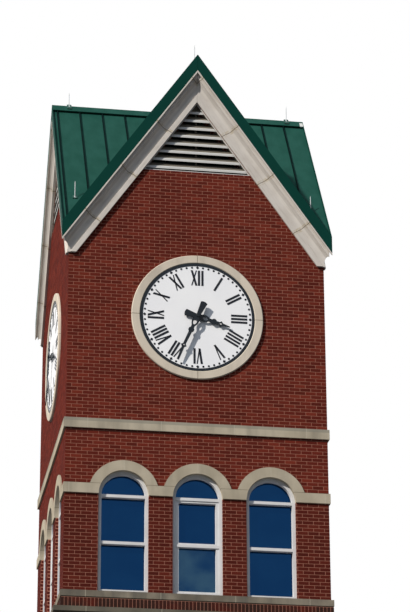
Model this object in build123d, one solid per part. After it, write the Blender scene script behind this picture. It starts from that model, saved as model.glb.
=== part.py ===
from build123d import *
import math
import os

# Square brick clock tower with a cross-gable metal roof.
# Millimetres, Z up, with the origin at the middle of its foot.

# Brickwork and plan
inch = 25.4
brick_course = 8 * inch / 3
tower_width = 72 * brick_course
wall_thickness = 14 * inch
shaft_step = 115.0
joint_gap = 4.0
mortar_gap = 2.0
seat_gap = 0.3
cut_margin = 1.0

# Heights of the courses, from the ground up
plinth_height = 9 * brick_course
plinth_projection = 50.0
plinth_weathering = 40.0
shaft_height = 211 * brick_course
storey_height = 5115.0
shelf_height = 110.0
shelf_projection = 70.0
soldier_height = 8 * inch
soldier_projection = 40.0
sill_height = 134.0
sill_projection = 50.0
belfry_wall_height = 45.5 * brick_course
string_height = 190.0
string_projection = 38.0
drip_depth = 18.0

# Arcades of three round-headed windows
window_width = 920.0
window_pitch = 1360.0
window_leg = 1835.0
arch_outer_radius = 650.0
arcade_band_height = 190.0
arcade_projection = 30.0
arcade_embed = 100.0
lower_sill_embed = 200.0

# Window joinery
frame_setback = 55.0
frame_depth = 95.0
frame_stile = 60.0
frame_rail = 55.0
transom_drop = 42.0
mid_rail_height = 935.0
sash_stile = 58.0
sash_top_rail = 38.0
sash_bottom_rail = 25.0
sash_setback = 14.0
glass_thickness = 24.0

# Clock
dial_height = 2310.0
ring_inner_radius = 1090.0
ring_width = 160.0
ring_projection = 48.0
ring_embed = 100.0
ring_chamfer = 12.0
dial_clearance = 5.0
dial_setback = 5.0
dial_seat_depth = 50.0
dial_rim_width = 56.0
dial_rim_rise = 14.0
dial_bearing_width = 85.0
pipe_radius = 22.0
arbor_radius = 12.0
pipe_tail = 60.0
hand_thickness = 18.0
hour_standoff = 60.0
minute_standoff = 100.0
boss_radius = 46.0
cap_radius = 34.0
cap_height = 16.0
cap_chamfer = 8.0
minute_hand_length = 945.0
minute_diamond_at = 672.0
minute_tail = 305.0
hour_hand_length = 640.0
hour_diamond_at = 456.0
hour_tail = 260.0
hand_bar_half_width = 38.0
hand_bar_end_half_width = 27.0
hand_point_half_width = 6.0
tail_neck_half_width = 36.0
tail_end_half_width = 66.0
tail_end_crown = 22.0
loop_at = 125.0
loop_half_length = 125.0
loop_half_width = 68.0
eye_at = 150.0
eye_half_length = 58.0
eye_half_width = 33.0
collar_at = 320.0
collar_half_length = 50.0
collar_half_width = 57.0
diamond_half_length = 62.0
diamond_half_width = 56.0
diamond_eye_half_length = 28.0
diamond_eye_half_width = 20.0
rest_minutes = 34.0
rest_hours = 3.0

# Gables and roof
roof_rise_per_run = 1.44
ridge_height = 7720.0
roof_overhang = 150.0
roof_thickness = 90.0
fascia_thickness = inch / 2
fascia_depth = 148.0
seam_spacing = 18 * inch
seam_first = {1: 100.0, -1: 430.0}
seam_shortest = 120.0
seam_height = 36.0
seam_width = 14.0
valley_clearance = 40.0
ridge_cap_width = 130.0
ridge_cap_thickness = 26.0
ridge_vent_width = 100.0
ridge_vent_thickness = 20.0
cornice_foot_height = 3490.0

# Raking cornice profile: projection from the wall, and depth below the roof surface
cornice_lip_depth = 167.0
cornice_crown_projection = 100.0
cornice_crown_depth = 228.0
cornice_step = 12.0
cornice_low_projection = 32.0
cornice_low_depth = 358.0
cornice_total_depth = 512.0
cove_sag = 18.0

# Gable vents
vent_sill_height = 5320.0
vent_setback = 15.0
vent_depth = 110.0
vent_frame = 22.0
slat_first = 55.0
slat_spacing = 172.0
slat_rise = 115.0
slat_lip = 42.0
slat_thickness = 9.0
mullion_width = 40.0
mullion_depth = 30.0

# Air terminals
rod_length = 13 * inch
rod_radius = 8.0
rod_tip_length = 45.0
rod_tip_radius = 1.5
rod_foot_depth = 16.0
gable_rod_setback = 220.0
side_rod_setback = 350.0
ridge_rod_offset = 30.0
saddle_length = 90.0
saddle_thickness = 18.0
corner_rod_along = 2300.0
corner_rod_across = 2005.0

# Door and floors
door_width = 1200.0
door_leg = 2100.0
door_surround_width = 240.0
door_surround_projection = 60.0
door_reveal = 120.0
door_thickness = 55.0
door_meeting_gap = 4.0
door_rail = 130.0
door_lock_rail_height = 880.0
door_panel_sink = 14.0
floor_thickness = 200.0
floor_gap_below_sill = 760.0

# Levels and half widths that follow
half = tower_width / 2
shaft_half = half + shaft_step
inner_half = half - wall_thickness
shelf_top = shaft_height + shelf_height
soldier_top = shelf_top + soldier_height
belfry_foot = soldier_top + sill_height
string_foot = belfry_foot + belfry_wall_height
gable_foot = string_foot + string_height
roof_apex = string_foot + ridge_height
middle_foot = belfry_foot - storey_height
lower_foot = middle_foot - storey_height
belfry_spring = belfry_foot + window_leg
middle_spring = middle_foot + window_leg
lower_spring = lower_foot + window_leg
ridge_cap_rise = ridge_cap_thickness + ridge_vent_thickness
cornice_lip_projection = roof_overhang - fascia_thickness - seat_gap
ring_outer_radius = ring_inner_radius + ring_width
dial_radius = ring_inner_radius - dial_clearance
dial_access_radius = dial_radius - dial_bearing_width
dial_centre = string_foot + dial_height
slope_angle = math.degrees(math.atan(roof_rise_per_run))
slope_cos = math.cos(math.radians(slope_angle))
slope_sin = math.sin(math.radians(slope_angle))
window_places = (-window_pitch, 0.0, window_pitch)
far = 2 * tower_width
sides = {"front": 0, "right": 90, "back": 180, "left": 270}


def upright(sketch, y_front, y_back):
    """A sketch of X and Z, given thickness from y_front to y_back."""
    face = Plane(origin=(0, y_back, 0), x_dir=(1, 0, 0), z_dir=(0, -1, 0)) * sketch
    return extrude(face, amount=y_back - y_front)


def outline(*points):
    """A closed face through points of the XY sketch plane."""
    return make_face(Polyline(*points, close=True))


def box_between(low, high):
    """A box from its lowest corner to its highest one."""
    size = [b - a for a, b in zip(low, high)]
    middle = [(a + b) / 2 for a, b in zip(low, high)]
    return Pos(*middle) * Box(*size)


def panel(x_low, x_high, z_low, z_high):
    """A rectangle of an upright sketch."""
    return Pos((x_low + x_high) / 2, (z_low + z_high) / 2) * Rectangle(x_high - x_low, z_high - z_low)


def half_disc(x, z, radius):
    """The upper half of a disc in an upright sketch."""
    return Pos(x, z) * Circle(radius) & panel(x - radius, x + radius, z, z + radius)


def round_head(x, z_foot, z_spring, half_width):
    """A round-headed opening in an upright sketch."""
    return panel(x - half_width, x + half_width, z_foot, z_spring) + half_disc(x, z_spring, half_width)


def front_wedge(gap=0.0):
    """The quarter of the plan that belongs to the front, as far as the corner mitres."""
    back_off = gap / math.sqrt(2)
    plan = outline((0, -back_off), (-far, -far - back_off), (far, -far - back_off))
    return extrude(plan, amount=2 * roof_apex)


def turned(shape, side):
    """A front piece turned to one of the four sides."""
    return Rot(0, 0, sides[side]) * shape


def all_round(*shapes):
    """Front pieces repeated on the four sides."""
    return [turned(shape, side) for side in sides for shape in shapes]


def write(node, *shapes):
    """One STEP file for each node, holding its solids."""
    solids = [solid for shape in shapes for solid in shape.solids()]
    export_step(solids[0] if len(solids) == 1 else Compound(solids), f"parts/{node}.step")


def course_bar(z_low, z_high, outer, weathering=0.0, drip=0.0):
    """One side of a course that runs round the tower, mitred at both corners."""
    section = [
        (-inner_half, z_low),
        (-outer + drip, z_low),
        (-outer + drip, z_low + drip),
        (-outer, z_low + drip),
        (-outer, z_high - weathering),
        (-outer + weathering, z_high),
        (-inner_half, z_high),
    ]
    points = [p for i, p in enumerate(section) if i == 0 or p != section[i - 1]]
    face = Plane(origin=(-far, 0, 0), x_dir=(0, 1, 0), z_dir=(1, 0, 0)) * outline(*points)
    return extrude(face, amount=2 * far) & front_wedge(joint_gap)


def arcade_sketch(z_spring, half_length, grow=0.0):
    """Stone band with three arches rising from it, before the windows are cut."""
    shape = panel(-half_length, half_length, z_spring - grow, z_spring + arcade_band_height + grow)
    for x in window_places:
        shape += half_disc(x, z_spring, arch_outer_radius + grow)
    return shape


def window_holes(z_foot, z_spring):
    """The three window openings of one side."""
    holes = Sketch()
    for x in window_places:
        holes += round_head(x, z_foot, z_spring, window_width / 2)
    return holes


def arcade_stone(z_spring, face_y):
    """The stone of one side's arcade, let into the wall."""
    length = -face_y + arcade_projection
    sketch = arcade_sketch(z_spring, length) - window_holes(z_spring - window_width, z_spring)
    return upright(sketch, face_y - arcade_projection, face_y + arcade_embed) & front_wedge(joint_gap)


def windowed_wall(z_low, z_high, face_y, z_sill, z_spring):
    """A mitred wall with three windows and the chase for its arcade."""
    back_y = -inner_half
    wall = upright(panel(-far / 2, far / 2, z_low, z_high) - window_holes(z_sill, z_spring), face_y, back_y)
    chase = upright(arcade_sketch(z_spring, far / 2, mortar_gap), face_y, face_y + arcade_embed)
    return (wall - chase) & front_wedge()


def window_frame(x, z_foot, z_spring, face_y, sash):
    """A fixed frame with a transom, a middle rail and, in the middle window, inner sashes."""
    outer = window_width / 2 - seat_gap
    inner = outer - frame_stile
    transom_low = z_spring - transom_drop
    rail = z_foot + mid_rail_height
    front_y = face_y + frame_setback
    bays = [
        (z_foot + frame_rail, rail - frame_rail / 2, 0.0),
        (rail + frame_rail / 2, transom_low, sash_top_rail),
    ]
    lights = [panel(x - inner, x + inner, low, high) for low, high, top_rail in bays]
    head = panel(x - inner, x + inner, transom_low + frame_rail, z_spring + inner)
    head &= round_head(x, z_foot, z_spring, inner)
    whole = round_head(x, z_foot, z_spring, outer)
    frame = upright(whole - lights[0] - lights[1] - head, front_y, front_y + frame_depth)
    if sash:
        glass_half = inner - sash_stile
        for light, (low, high, top_rail) in zip(lights, bays):
            glass = panel(x - glass_half, x + glass_half, low + sash_bottom_rail, high - top_rail)
            frame += upright(light - glass, front_y + sash_setback, front_y + frame_depth)
    return frame


def window_frames(z_foot, z_spring, face_y):
    """The three frames of one side."""
    return [window_frame(x, z_foot, z_spring, face_y, x == 0) for x in window_places]


def window_glass(z_foot, z_spring, face_y):
    """The three sealed units of one side, each against the back of its frame."""
    front_y = face_y + frame_setback + frame_depth
    outer = window_width / 2 - seat_gap
    return [
        upright(round_head(x, z_foot, z_spring, outer), front_y, front_y + glass_thickness)
        for x in window_places
    ]


def lower_wall(side):
    """A wall from the plinth to the middle sill course, with the door in the front one."""
    face_y = -shaft_half
    wall = windowed_wall(plinth_height, middle_foot - sill_height, face_y, lower_foot, lower_spring)
    chase = panel(-far / 2, far / 2, lower_foot - sill_height - mortar_gap, lower_foot)
    wall -= upright(chase, face_y, face_y + lower_sill_embed)
    if side == "front":
        wall -= upright(round_head(0, 0, door_leg, door_width / 2), face_y - cut_margin, -inner_half + cut_margin)
        wall -= upright(door_surround_sketch(mortar_gap), face_y - cut_margin, face_y + arcade_embed)
    return wall


def lower_sill_bar():
    """One side of the sill band that is let into the lower walls."""
    face_y = -shaft_half
    sketch = panel(-far / 2, far / 2, lower_foot - sill_height, lower_foot)
    return upright(sketch, face_y - sill_projection, face_y + lower_sill_embed) & front_wedge(joint_gap)


def door_surround_sketch(grow=0.0):
    """The stone surround of the door with its opening filled."""
    return round_head(0, 0, door_leg, door_width / 2 + door_surround_width + grow)


def plinth_bars(side):
    """The plinth of one side, in two lengths where the door is."""
    bar = course_bar(0, plinth_height, shaft_half + plinth_projection, weathering=plinth_weathering)
    if side == "front":
        bar -= upright(door_surround_sketch(mortar_gap), -far, -shaft_half + arcade_embed)
        bar -= upright(panel(-door_width / 2, door_width / 2, 0, plinth_height), -far, 0)
    return bar


def door_surround():
    """Stone jambs and arch of the door."""
    ring = door_surround_sketch() - round_head(0, 0, door_leg, door_width / 2)
    return upright(ring, -shaft_half - door_surround_projection, -shaft_half + arcade_embed)


def door_leaf(hand):
    """One closed leaf of the door, with sunk panels."""
    front_y = -shaft_half + door_reveal
    leaf = round_head(0, 0, door_leg, door_width / 2 - seat_gap)
    leaf &= panel(door_meeting_gap / 2, door_width, 0, 2 * door_leg)
    solid = upright(leaf, front_y, front_y + door_thickness)
    low, high = door_rail, door_width / 2 - door_rail
    lower_panel = (2 * door_rail, door_lock_rail_height)
    upper_panel = (door_lock_rail_height + door_rail, door_leg - door_rail)
    for z_low, z_high in (lower_panel, upper_panel):
        solid -= upright(panel(low, high, z_low, z_high), front_y, front_y + door_panel_sink)
    return solid if hand > 0 else mirror(solid, about=Plane.YZ)


def floor_slab(z_top):
    """A floor between the inner faces of the walls."""
    return box_between((-inner_half, -inner_half, z_top - floor_thickness), (inner_half, inner_half, z_top))


def under_roof(x, below=0.0):
    """Height of the roof surface over a point of a gable, less a depth square to the slope."""
    return roof_apex - roof_rise_per_run * abs(x) - below / slope_cos


def vent_sketch(shrink=0.0):
    """The triangle of a gable vent, which fills the gable up to the lower edge of the cornice."""
    foot = string_foot + vent_sill_height + shrink
    top = under_roof(0, cornice_total_depth + shrink)
    width = (top - foot) / roof_rise_per_run
    return outline((-width, foot), (width, foot), (0, top))


def gable_wall():
    """A gable wall with the seat of the dial and the hole of the vent."""
    face_y = -half
    reach = half + cut_margin
    shape = outline(
        (-reach, gable_foot),
        (reach, gable_foot),
        (reach, under_roof(reach, roof_thickness)),
        (0, under_roof(0, roof_thickness)),
        (-reach, under_roof(reach, roof_thickness)),
    )
    wall = upright(shape - vent_sketch(), face_y, -inner_half)
    centre = Pos(0, dial_centre)
    wall -= upright(centre * Circle(dial_access_radius), face_y, -inner_half)
    wall -= upright(centre * Circle(dial_radius + mortar_gap), face_y, face_y + dial_seat_depth)
    seat = centre * Circle(ring_outer_radius + mortar_gap) - centre * Circle(dial_radius)
    wall -= upright(seat, face_y, face_y + ring_embed)
    return wall & front_wedge()


def dial_ring():
    """The stone ring round a dial, in four lengths."""
    centre = Pos(0, dial_centre)
    ring = upright(
        centre * (Circle(ring_outer_radius) - Circle(ring_inner_radius)),
        -half - ring_projection,
        -half + ring_embed,
    )
    front_rims = [e for e in ring.edges() if abs(e.center().Y + half + ring_projection) < cut_margin]
    ring = chamfer(front_rims, ring_chamfer)
    reach = ring_outer_radius + ring_embed
    ring -= upright(centre * Rectangle(joint_gap, 2 * reach), -half - reach, 0)
    ring -= upright(centre * Rectangle(2 * reach, joint_gap), -half - reach, 0)
    return ring


def dial():
    """A dial with its raised rim and the hole for the hour pipe."""
    front_y = -half + dial_setback
    centre = Pos(0, dial_centre)
    hole = Circle(pipe_radius + seat_gap)
    disc = upright(centre * (Circle(dial_radius) - hole), front_y, -half + dial_seat_depth)
    rim = Circle(dial_radius) - Circle(dial_radius - dial_rim_width)
    return disc + upright(centre * rim, front_y - dial_rim_rise, front_y)


def lens(at, half_length, half_width):
    """A pointed oval on the centre line of a hand."""
    low, high = (0, at - half_length), (0, at + half_length)
    return make_face(ThreePointArc(low, (half_width, at), high) + ThreePointArc(high, (-half_width, at), low))


def diamond(at, half_length, half_width):
    """A diamond on the centre line of a hand."""
    return outline((0, at - half_length), (half_width, at), (0, at + half_length), (-half_width, at))


def hand_tail(length):
    """The flared counterweight below the hub of a hand."""
    corner_z = tail_end_crown - length
    crown = ThreePointArc((-tail_end_half_width, corner_z), (0, -length), (tail_end_half_width, corner_z))
    sides_of_tail = Polyline(
        (tail_end_half_width, corner_z),
        (tail_neck_half_width, 0),
        (-tail_neck_half_width, 0),
        (-tail_end_half_width, corner_z),
    )
    return make_face(crown + sides_of_tail)


def hand_plate(length, tail_length, diamond_at, y_front):
    """A pierced hand that points up: boss, loop, collar, diamond and point, with its tail below the hub."""
    bar = outline(
        (-hand_bar_half_width, 0),
        (hand_bar_half_width, 0),
        (hand_bar_end_half_width, diamond_at),
        (hand_point_half_width, length),
        (-hand_point_half_width, length),
        (-hand_bar_end_half_width, diamond_at),
    )
    shape = bar + hand_tail(tail_length) + Circle(boss_radius)
    shape += lens(loop_at, loop_half_length, loop_half_width)
    shape += lens(collar_at, collar_half_length, collar_half_width)
    shape += diamond(diamond_at, diamond_half_length, diamond_half_width)
    shape -= lens(eye_at, eye_half_length, eye_half_width)
    shape -= diamond(diamond_at, diamond_eye_half_length, diamond_eye_half_width)
    return upright(Pos(0, dial_centre) * shape, y_front, y_front + hand_thickness)


def hand_turn(shape, clock_degrees):
    """A hand turned clockwise about its dial's axis."""
    centre = Pos(0, 0, dial_centre)
    return centre * (Rot(0, clock_degrees, 0) * (centre.inverse() * shape))


def hour_hand():
    """The hour hand on its pipe."""
    front_y = -half - hour_standoff - hand_thickness
    bore = Pos(0, dial_centre) * Circle(arbor_radius + seat_gap)
    plate = hand_plate(hour_hand_length, hour_tail, hour_diamond_at, front_y)
    pipe = upright(Pos(0, dial_centre) * Circle(pipe_radius), front_y, -half + dial_seat_depth + pipe_tail)
    solid = plate + pipe - upright(bore, front_y - cut_margin, far)
    return hand_turn(solid, 30 * rest_hours + rest_minutes / 2)


def minute_hand():
    """The minute hand on its arbor, with the cap over its nut."""
    front_y = -half - minute_standoff - hand_thickness
    plate = hand_plate(minute_hand_length, minute_tail, minute_diamond_at, front_y)
    arbor_end = -half + dial_seat_depth + 2 * pipe_tail
    arbor = upright(Pos(0, dial_centre) * Circle(arbor_radius), front_y, arbor_end)
    cap = upright(Pos(0, dial_centre) * Circle(cap_radius), front_y - cap_height, front_y)
    front_rim = [e for e in cap.edges() if abs(e.center().Y - front_y + cap_height) < cut_margin]
    cap = chamfer(front_rim, cap_chamfer)
    return hand_turn(plate + arbor + cap, 6 * rest_minutes)


def rake_run(section, hand):
    """A section of (Y, depth square to the roof) run along one rake of the front gable."""
    along = (hand * slope_cos, 0, -slope_sin)
    start = Vector(0, 0, roof_apex) - Vector(*along) * tower_width
    rake = Plane(origin=start, x_dir=(0, hand, 0), z_dir=along)
    run = extrude(rake * section, amount=3 * tower_width)
    keep = box_between((0, -far, 0), (far, far, 2 * roof_apex))
    keep = Pos(joint_gap / 2, 0, 0) * keep
    if hand < 0:
        keep = mirror(keep, about=Plane.YZ)
    return run & keep & front_wedge(joint_gap)


def rake_section(points, hand):
    """Points of (projection, depth below the roof surface) in the plane that rake_run takes."""
    return [(-hand * (half + out), -below) for out, below in points]


def cornice_section(hand):
    """The profile of the raking cornice: a lip, the crown, a deep cove and a flat fillet."""
    cove_top = (cornice_crown_projection - cornice_step, cornice_crown_depth)
    cove_foot = (cornice_low_projection - cornice_step, cornice_low_depth)
    chord = (cove_foot[0] - cove_top[0], cove_foot[1] - cove_top[1])
    sag = cove_sag / math.hypot(*chord)
    cove_middle = (
        (cove_top[0] + cove_foot[0]) / 2 - sag * chord[1],
        (cove_top[1] + cove_foot[1]) / 2 + sag * chord[0],
    )
    upper = [
        (cornice_lip_projection, roof_thickness),
        (cornice_lip_projection, cornice_lip_depth),
        (cornice_crown_projection, cornice_lip_depth),
        (cornice_crown_projection, cornice_crown_depth),
        cove_top,
    ]
    lower = [
        cove_foot,
        (cornice_low_projection, cornice_low_depth),
        (cornice_low_projection, cornice_total_depth),
        (0.0, cornice_total_depth),
        (0.0, roof_thickness),
    ]
    cove = rake_section([cove_top, cove_middle, cove_foot], hand)
    edges = Polyline(*rake_section(upper, hand)) + ThreePointArc(*cove) + Polyline(*rake_section(lower, hand))
    return make_face(edges + Line(*rake_section([lower[-1], upper[0]], hand)))


def rake_cornice(hand):
    """One rake of the cornice, cut level at its foot."""
    foot = string_foot + cornice_foot_height
    above = box_between((-far, -far, foot), (far, far, 2 * roof_apex))
    return rake_run(cornice_section(hand), hand) & above


def rake_fascia(hand):
    """The metal fascia along the roof's raking edge."""
    back = roof_overhang - fascia_thickness
    points = [
        (back, -ridge_cap_rise),
        (roof_overhang, -ridge_cap_rise),
        (roof_overhang, fascia_depth),
        (back, fascia_depth),
    ]
    return rake_run(outline(*rake_section(points, hand)), hand)


def roof_slope(hand):
    """One roof slope of the front gable, between ridge, rake and valley, with its standing seams."""
    edge = roof_overhang - fascia_thickness
    points = [(edge, 0), (edge, roof_thickness), (-half, roof_thickness), (-half, 0)]
    slope = rake_run(outline(*rake_section(points, hand)), hand)
    rake_y = half + roof_overhang
    first = rake_y - seam_first[hand]
    count = int((first - valley_clearance) // seam_spacing) + 1
    for i in range(count):
        y = first - i * seam_spacing
        length = (y - valley_clearance) / slope_cos - ridge_cap_width
        if length > seam_shortest:
            slope += seam(hand, y, length)
    return slope


def seam(hand, y, length):
    """A standing seam that runs down a slope at a distance y in front of the middle."""
    rib = Pos(ridge_cap_width + length / 2, 0, seam_height / 2) * Box(length, seam_width, seam_height)
    laid = Rot(0, slope_angle, 0) * rib
    if hand < 0:
        laid = mirror(laid, about=Plane.YZ)
    return Pos(0, -y, roof_apex) * laid


def ridge_layer(width, below, thickness):
    """A folded layer over the ridge, its underside a given height square above the slopes."""
    low_x, low_z = offset_slope(width, below)
    high_x, high_z = offset_slope(width, below + thickness)
    return outline(
        (0, roof_apex + below / slope_cos),
        (low_x, low_z),
        (high_x, high_z),
        (0, roof_apex + (below + thickness) / slope_cos),
        (-high_x, high_z),
        (-low_x, low_z),
    )


def offset_slope(along, above):
    """X and Z of a point of the right-hand slope: along it from the apex, and square above it."""
    return along * slope_cos + above * slope_sin, roof_apex - along * slope_sin + above * slope_cos


def ridge_cap():
    """The folded cap on the front ridge, raised on its narrower vent strip."""
    shape = ridge_layer(ridge_vent_width, 0, ridge_vent_thickness)
    shape += ridge_layer(ridge_cap_width, ridge_vent_thickness, ridge_cap_thickness)
    end = half + roof_overhang - fascia_thickness
    return upright(shape, -end, 0) & front_wedge(joint_gap)


def air_rod(foot_depth):
    """A pointed rod that stands on the origin."""
    shank = Pos(0, 0, (rod_length - rod_tip_length - foot_depth) / 2) * Cylinder(
        rod_radius, rod_length - rod_tip_length + foot_depth
    )
    tip = Pos(0, 0, rod_length - rod_tip_length / 2) * Cone(rod_radius, rod_tip_radius, rod_tip_length)
    return shank + tip


def ridge_rod(setback):
    """The air terminal on the front ridge, on the left slope of its saddle."""
    y = -half - roof_overhang + setback
    saddle = ridge_layer(ridge_cap_width / 2, ridge_cap_rise, saddle_thickness)
    foot = under_roof(ridge_rod_offset, -ridge_cap_rise - saddle_thickness)
    rod = Pos(-ridge_rod_offset, y, foot) * air_rod(rod_foot_depth)
    return upright(saddle, y - saddle_length / 2, y + saddle_length / 2) + rod


def corner_rod(hand):
    """The air terminal near the foot of one of the front gable's slopes, on a tilted pad."""
    pad = Pos(0, 0, saddle_thickness / 2) * Box(saddle_length, saddle_length, saddle_thickness)
    foot = Pos(corner_rod_across, -corner_rod_along, under_roof(corner_rod_across))
    laid = foot * (Rot(0, slope_angle, 0) * pad)
    rod_foot = Pos(saddle_thickness * slope_sin, 0, saddle_thickness * slope_cos)
    rod = foot * (rod_foot * air_rod(rod_foot_depth))
    above = foot * (Rot(0, slope_angle, 0) * (Pos(0, 0, rod_length) * Box(far, far, 2 * rod_length)))
    terminal = (laid + rod) & above
    return terminal if hand > 0 else mirror(terminal, about=Plane.YZ)


def gable_vent():
    """A louvred vent with its frame, slats and mullion."""
    front_y = -half + vent_setback
    hole = vent_sketch(seat_gap)
    light = vent_sketch(seat_gap + vent_frame)
    frame = upright(hole - light, front_y, front_y + vent_depth)
    slats = []
    foot = string_foot + vent_sill_height + slat_first
    top = under_roof(0, cornice_total_depth)
    count = int((top - foot) // slat_spacing)
    for i in range(count):
        z = foot + i * slat_spacing
        section = [
            (front_y + slat_thickness, z),
            (front_y + 2 * slat_thickness, z),
            (front_y + 2 * slat_thickness, z + slat_lip - slat_thickness),
            (front_y + vent_depth - 2 * slat_thickness, z + slat_lip + slat_rise - slat_thickness),
            (front_y + vent_depth - 2 * slat_thickness, z + slat_lip + slat_rise),
            (front_y + slat_thickness, z + slat_lip),
        ]
        face = Plane(origin=(-half, 0, 0), x_dir=(0, 1, 0), z_dir=(1, 0, 0)) * outline(*section)
        slats.append(extrude(face, amount=2 * half))
    bay = upright(light, front_y, front_y + vent_depth)
    post = panel(-mullion_width / 2, mullion_width / 2, 0, top)
    back = upright(post, front_y + vent_depth - mullion_depth, front_y + vent_depth)
    vent = frame
    for slat in slats:
        vent += slat & bay
    return vent + (back & bay)


def build_walls():
    """Walls and the courses that run round them."""
    middle = windowed_wall(middle_foot, shaft_height, -shaft_half, middle_foot, middle_spring)
    belfry = windowed_wall(belfry_foot, string_foot, -half, belfry_foot, belfry_spring)
    gable = gable_wall()
    for side in sides:
        write(f"lower_wall_{side}", turned(lower_wall(side), side))
        write(f"middle_wall_{side}", turned(middle, side))
        write(f"belfry_wall_{side}", turned(belfry, side))
        write(f"gable_wall_{side}", turned(gable, side))


def build_courses():
    """Plinth, sills, bands and arcades."""
    sill_face = shaft_half + sill_projection
    middle_sill = course_bar(middle_foot - sill_height, middle_foot, sill_face, drip=drip_depth)
    shelf = course_bar(shaft_height, shelf_top, shaft_half + shelf_projection, drip=drip_depth)
    soldier = course_bar(shelf_top, soldier_top, half + soldier_projection)
    belfry_sill = course_bar(soldier_top, belfry_foot, half + sill_projection, drip=drip_depth)
    string = course_bar(string_foot, gable_foot, half + string_projection)
    write("plinth", *[turned(plinth_bars(side), side) for side in sides])
    write("shaft_sill_courses", *all_round(lower_sill_bar(), middle_sill))
    write("shelf_course", *all_round(shelf))
    write("soldier_course", *all_round(soldier))
    write("belfry_sill_course", *all_round(belfry_sill))
    write("string_course", *all_round(string))
    shaft_arcades = [arcade_stone(spring, -shaft_half) for spring in (lower_spring, middle_spring)]
    write("shaft_arcades", *all_round(*shaft_arcades))
    write("belfry_arcade", *all_round(arcade_stone(belfry_spring, -half)))


def build_windows():
    """Frames and glass, the door and the floors."""
    rows = {
        "shaft": [(lower_foot, lower_spring, -shaft_half), (middle_foot, middle_spring, -shaft_half)],
        "belfry": [(belfry_foot, belfry_spring, -half)],
    }
    for name, places in rows.items():
        frames = [frame for place in places for frame in window_frames(*place)]
        panes = [pane for place in places for pane in window_glass(*place)]
        write(f"{name}_window_frames", *all_round(*frames))
        write(f"{name}_window_glass", *all_round(*panes))
    write("door_surround", door_surround())
    write("door_leaves", door_leaf(1), door_leaf(-1))
    write("ground_floor", floor_slab(floor_thickness))
    sills = (lower_foot, middle_foot, belfry_foot)
    write("upper_floors", *[floor_slab(sill - floor_gap_below_sill) for sill in sills])


def build_clock():
    """Rings, dials and hands."""
    write("dial_rings", *all_round(dial_ring()))
    write("dials", *all_round(dial()))
    hour, minute = hour_hand(), minute_hand()
    for side in sides:
        write(f"hour_hand_{side}", turned(hour, side))
        write(f"minute_hand_{side}", turned(minute, side))


def build_roof():
    """Cornices, vents, roof slopes and what stands on them."""
    write("rake_cornices", *all_round(rake_cornice(1), rake_cornice(-1)))
    write("rake_fascias", *all_round(rake_fascia(1), rake_fascia(-1)))
    write("roof_slopes", *all_round(roof_slope(1), roof_slope(-1)))
    write("ridge_caps", *all_round(ridge_cap()))
    write("gable_vents", *all_round(gable_vent()))
    rods = [turned(corner_rod(hand), side) for side in ("left", "right") for hand in (1, -1)]
    rods += [turned(ridge_rod(gable_rod_setback), side) for side in ("front", "back")]
    rods += [turned(ridge_rod(side_rod_setback), side) for side in ("left", "right")]
    write("lightning_rods", *rods)


os.makedirs("parts", exist_ok=True)
build_walls()
build_courses()
build_windows()
build_clock()
build_roof()
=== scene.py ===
"""A brick clock tower, dressed for display: its finishes, bricks, numerals, floor, lamps and camera."""

import math

import bpy
from mathutils import Matrix, Vector


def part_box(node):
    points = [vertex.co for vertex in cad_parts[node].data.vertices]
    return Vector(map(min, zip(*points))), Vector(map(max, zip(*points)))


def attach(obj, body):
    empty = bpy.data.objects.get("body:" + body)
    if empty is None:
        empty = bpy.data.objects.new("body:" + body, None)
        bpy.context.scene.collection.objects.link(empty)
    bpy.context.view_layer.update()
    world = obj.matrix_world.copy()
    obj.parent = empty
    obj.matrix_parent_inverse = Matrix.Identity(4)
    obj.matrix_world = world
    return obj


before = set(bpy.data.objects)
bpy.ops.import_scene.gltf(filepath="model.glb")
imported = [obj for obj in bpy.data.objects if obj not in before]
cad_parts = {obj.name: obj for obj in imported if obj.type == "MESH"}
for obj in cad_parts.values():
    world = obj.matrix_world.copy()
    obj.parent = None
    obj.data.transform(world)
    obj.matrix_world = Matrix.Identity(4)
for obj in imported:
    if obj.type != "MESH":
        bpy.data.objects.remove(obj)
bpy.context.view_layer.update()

# The turn of each side about the tower's axis, in degrees
SIDES = {"front": 0, "right": 90, "back": 180, "left": 270}

# The tower's levels and widths, from the frame
STRING_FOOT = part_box("string_course")[0].z
STRING_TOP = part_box("string_course")[1].z
STRING_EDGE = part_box("string_course")[1].x
BELFRY_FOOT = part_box("belfry_wall_front")[0].z
BELFRY_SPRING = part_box("belfry_arcade")[0].z
MIDDLE_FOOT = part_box("middle_wall_front")[0].z
SHAFT_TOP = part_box("middle_wall_front")[1].z
LOWER_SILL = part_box("shaft_sill_courses")[0].z
LOWER_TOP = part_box("lower_wall_front")[1].z
PLINTH_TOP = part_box("plinth")[1].z
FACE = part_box("belfry_wall_front")[1].x
SHAFT_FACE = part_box("middle_wall_front")[1].x
SOLDIER_LOW, SOLDIER_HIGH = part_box("soldier_course")
STOREY = BELFRY_FOOT - MIDDLE_FOOT
LOWER_FOOT = MIDDLE_FOOT - STOREY
WINDOW_LEG = BELFRY_SPRING - BELFRY_FOOT
ARCH_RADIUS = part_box("belfry_arcade")[1].z - BELFRY_SPRING
RING_LOW, RING_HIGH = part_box("dial_rings")
RING_RADIUS = (RING_HIGH.z - RING_LOW.z) / 2
DIAL_CENTRE = (RING_LOW.z + RING_HIGH.z) / 2
DIAL_LOW, DIAL_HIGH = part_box("dials")
DIAL_RADIUS = (DIAL_HIGH.z - DIAL_LOW.z) / 2
VENT_LOW, VENT_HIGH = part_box("gable_vents")
CORNICE_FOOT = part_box("rake_cornices")[0].z
ROOF_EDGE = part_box("rake_fascias")[1].x
DOOR_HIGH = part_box("door_surround")[1]
LEAF_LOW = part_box("door_leaves")[0]

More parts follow.
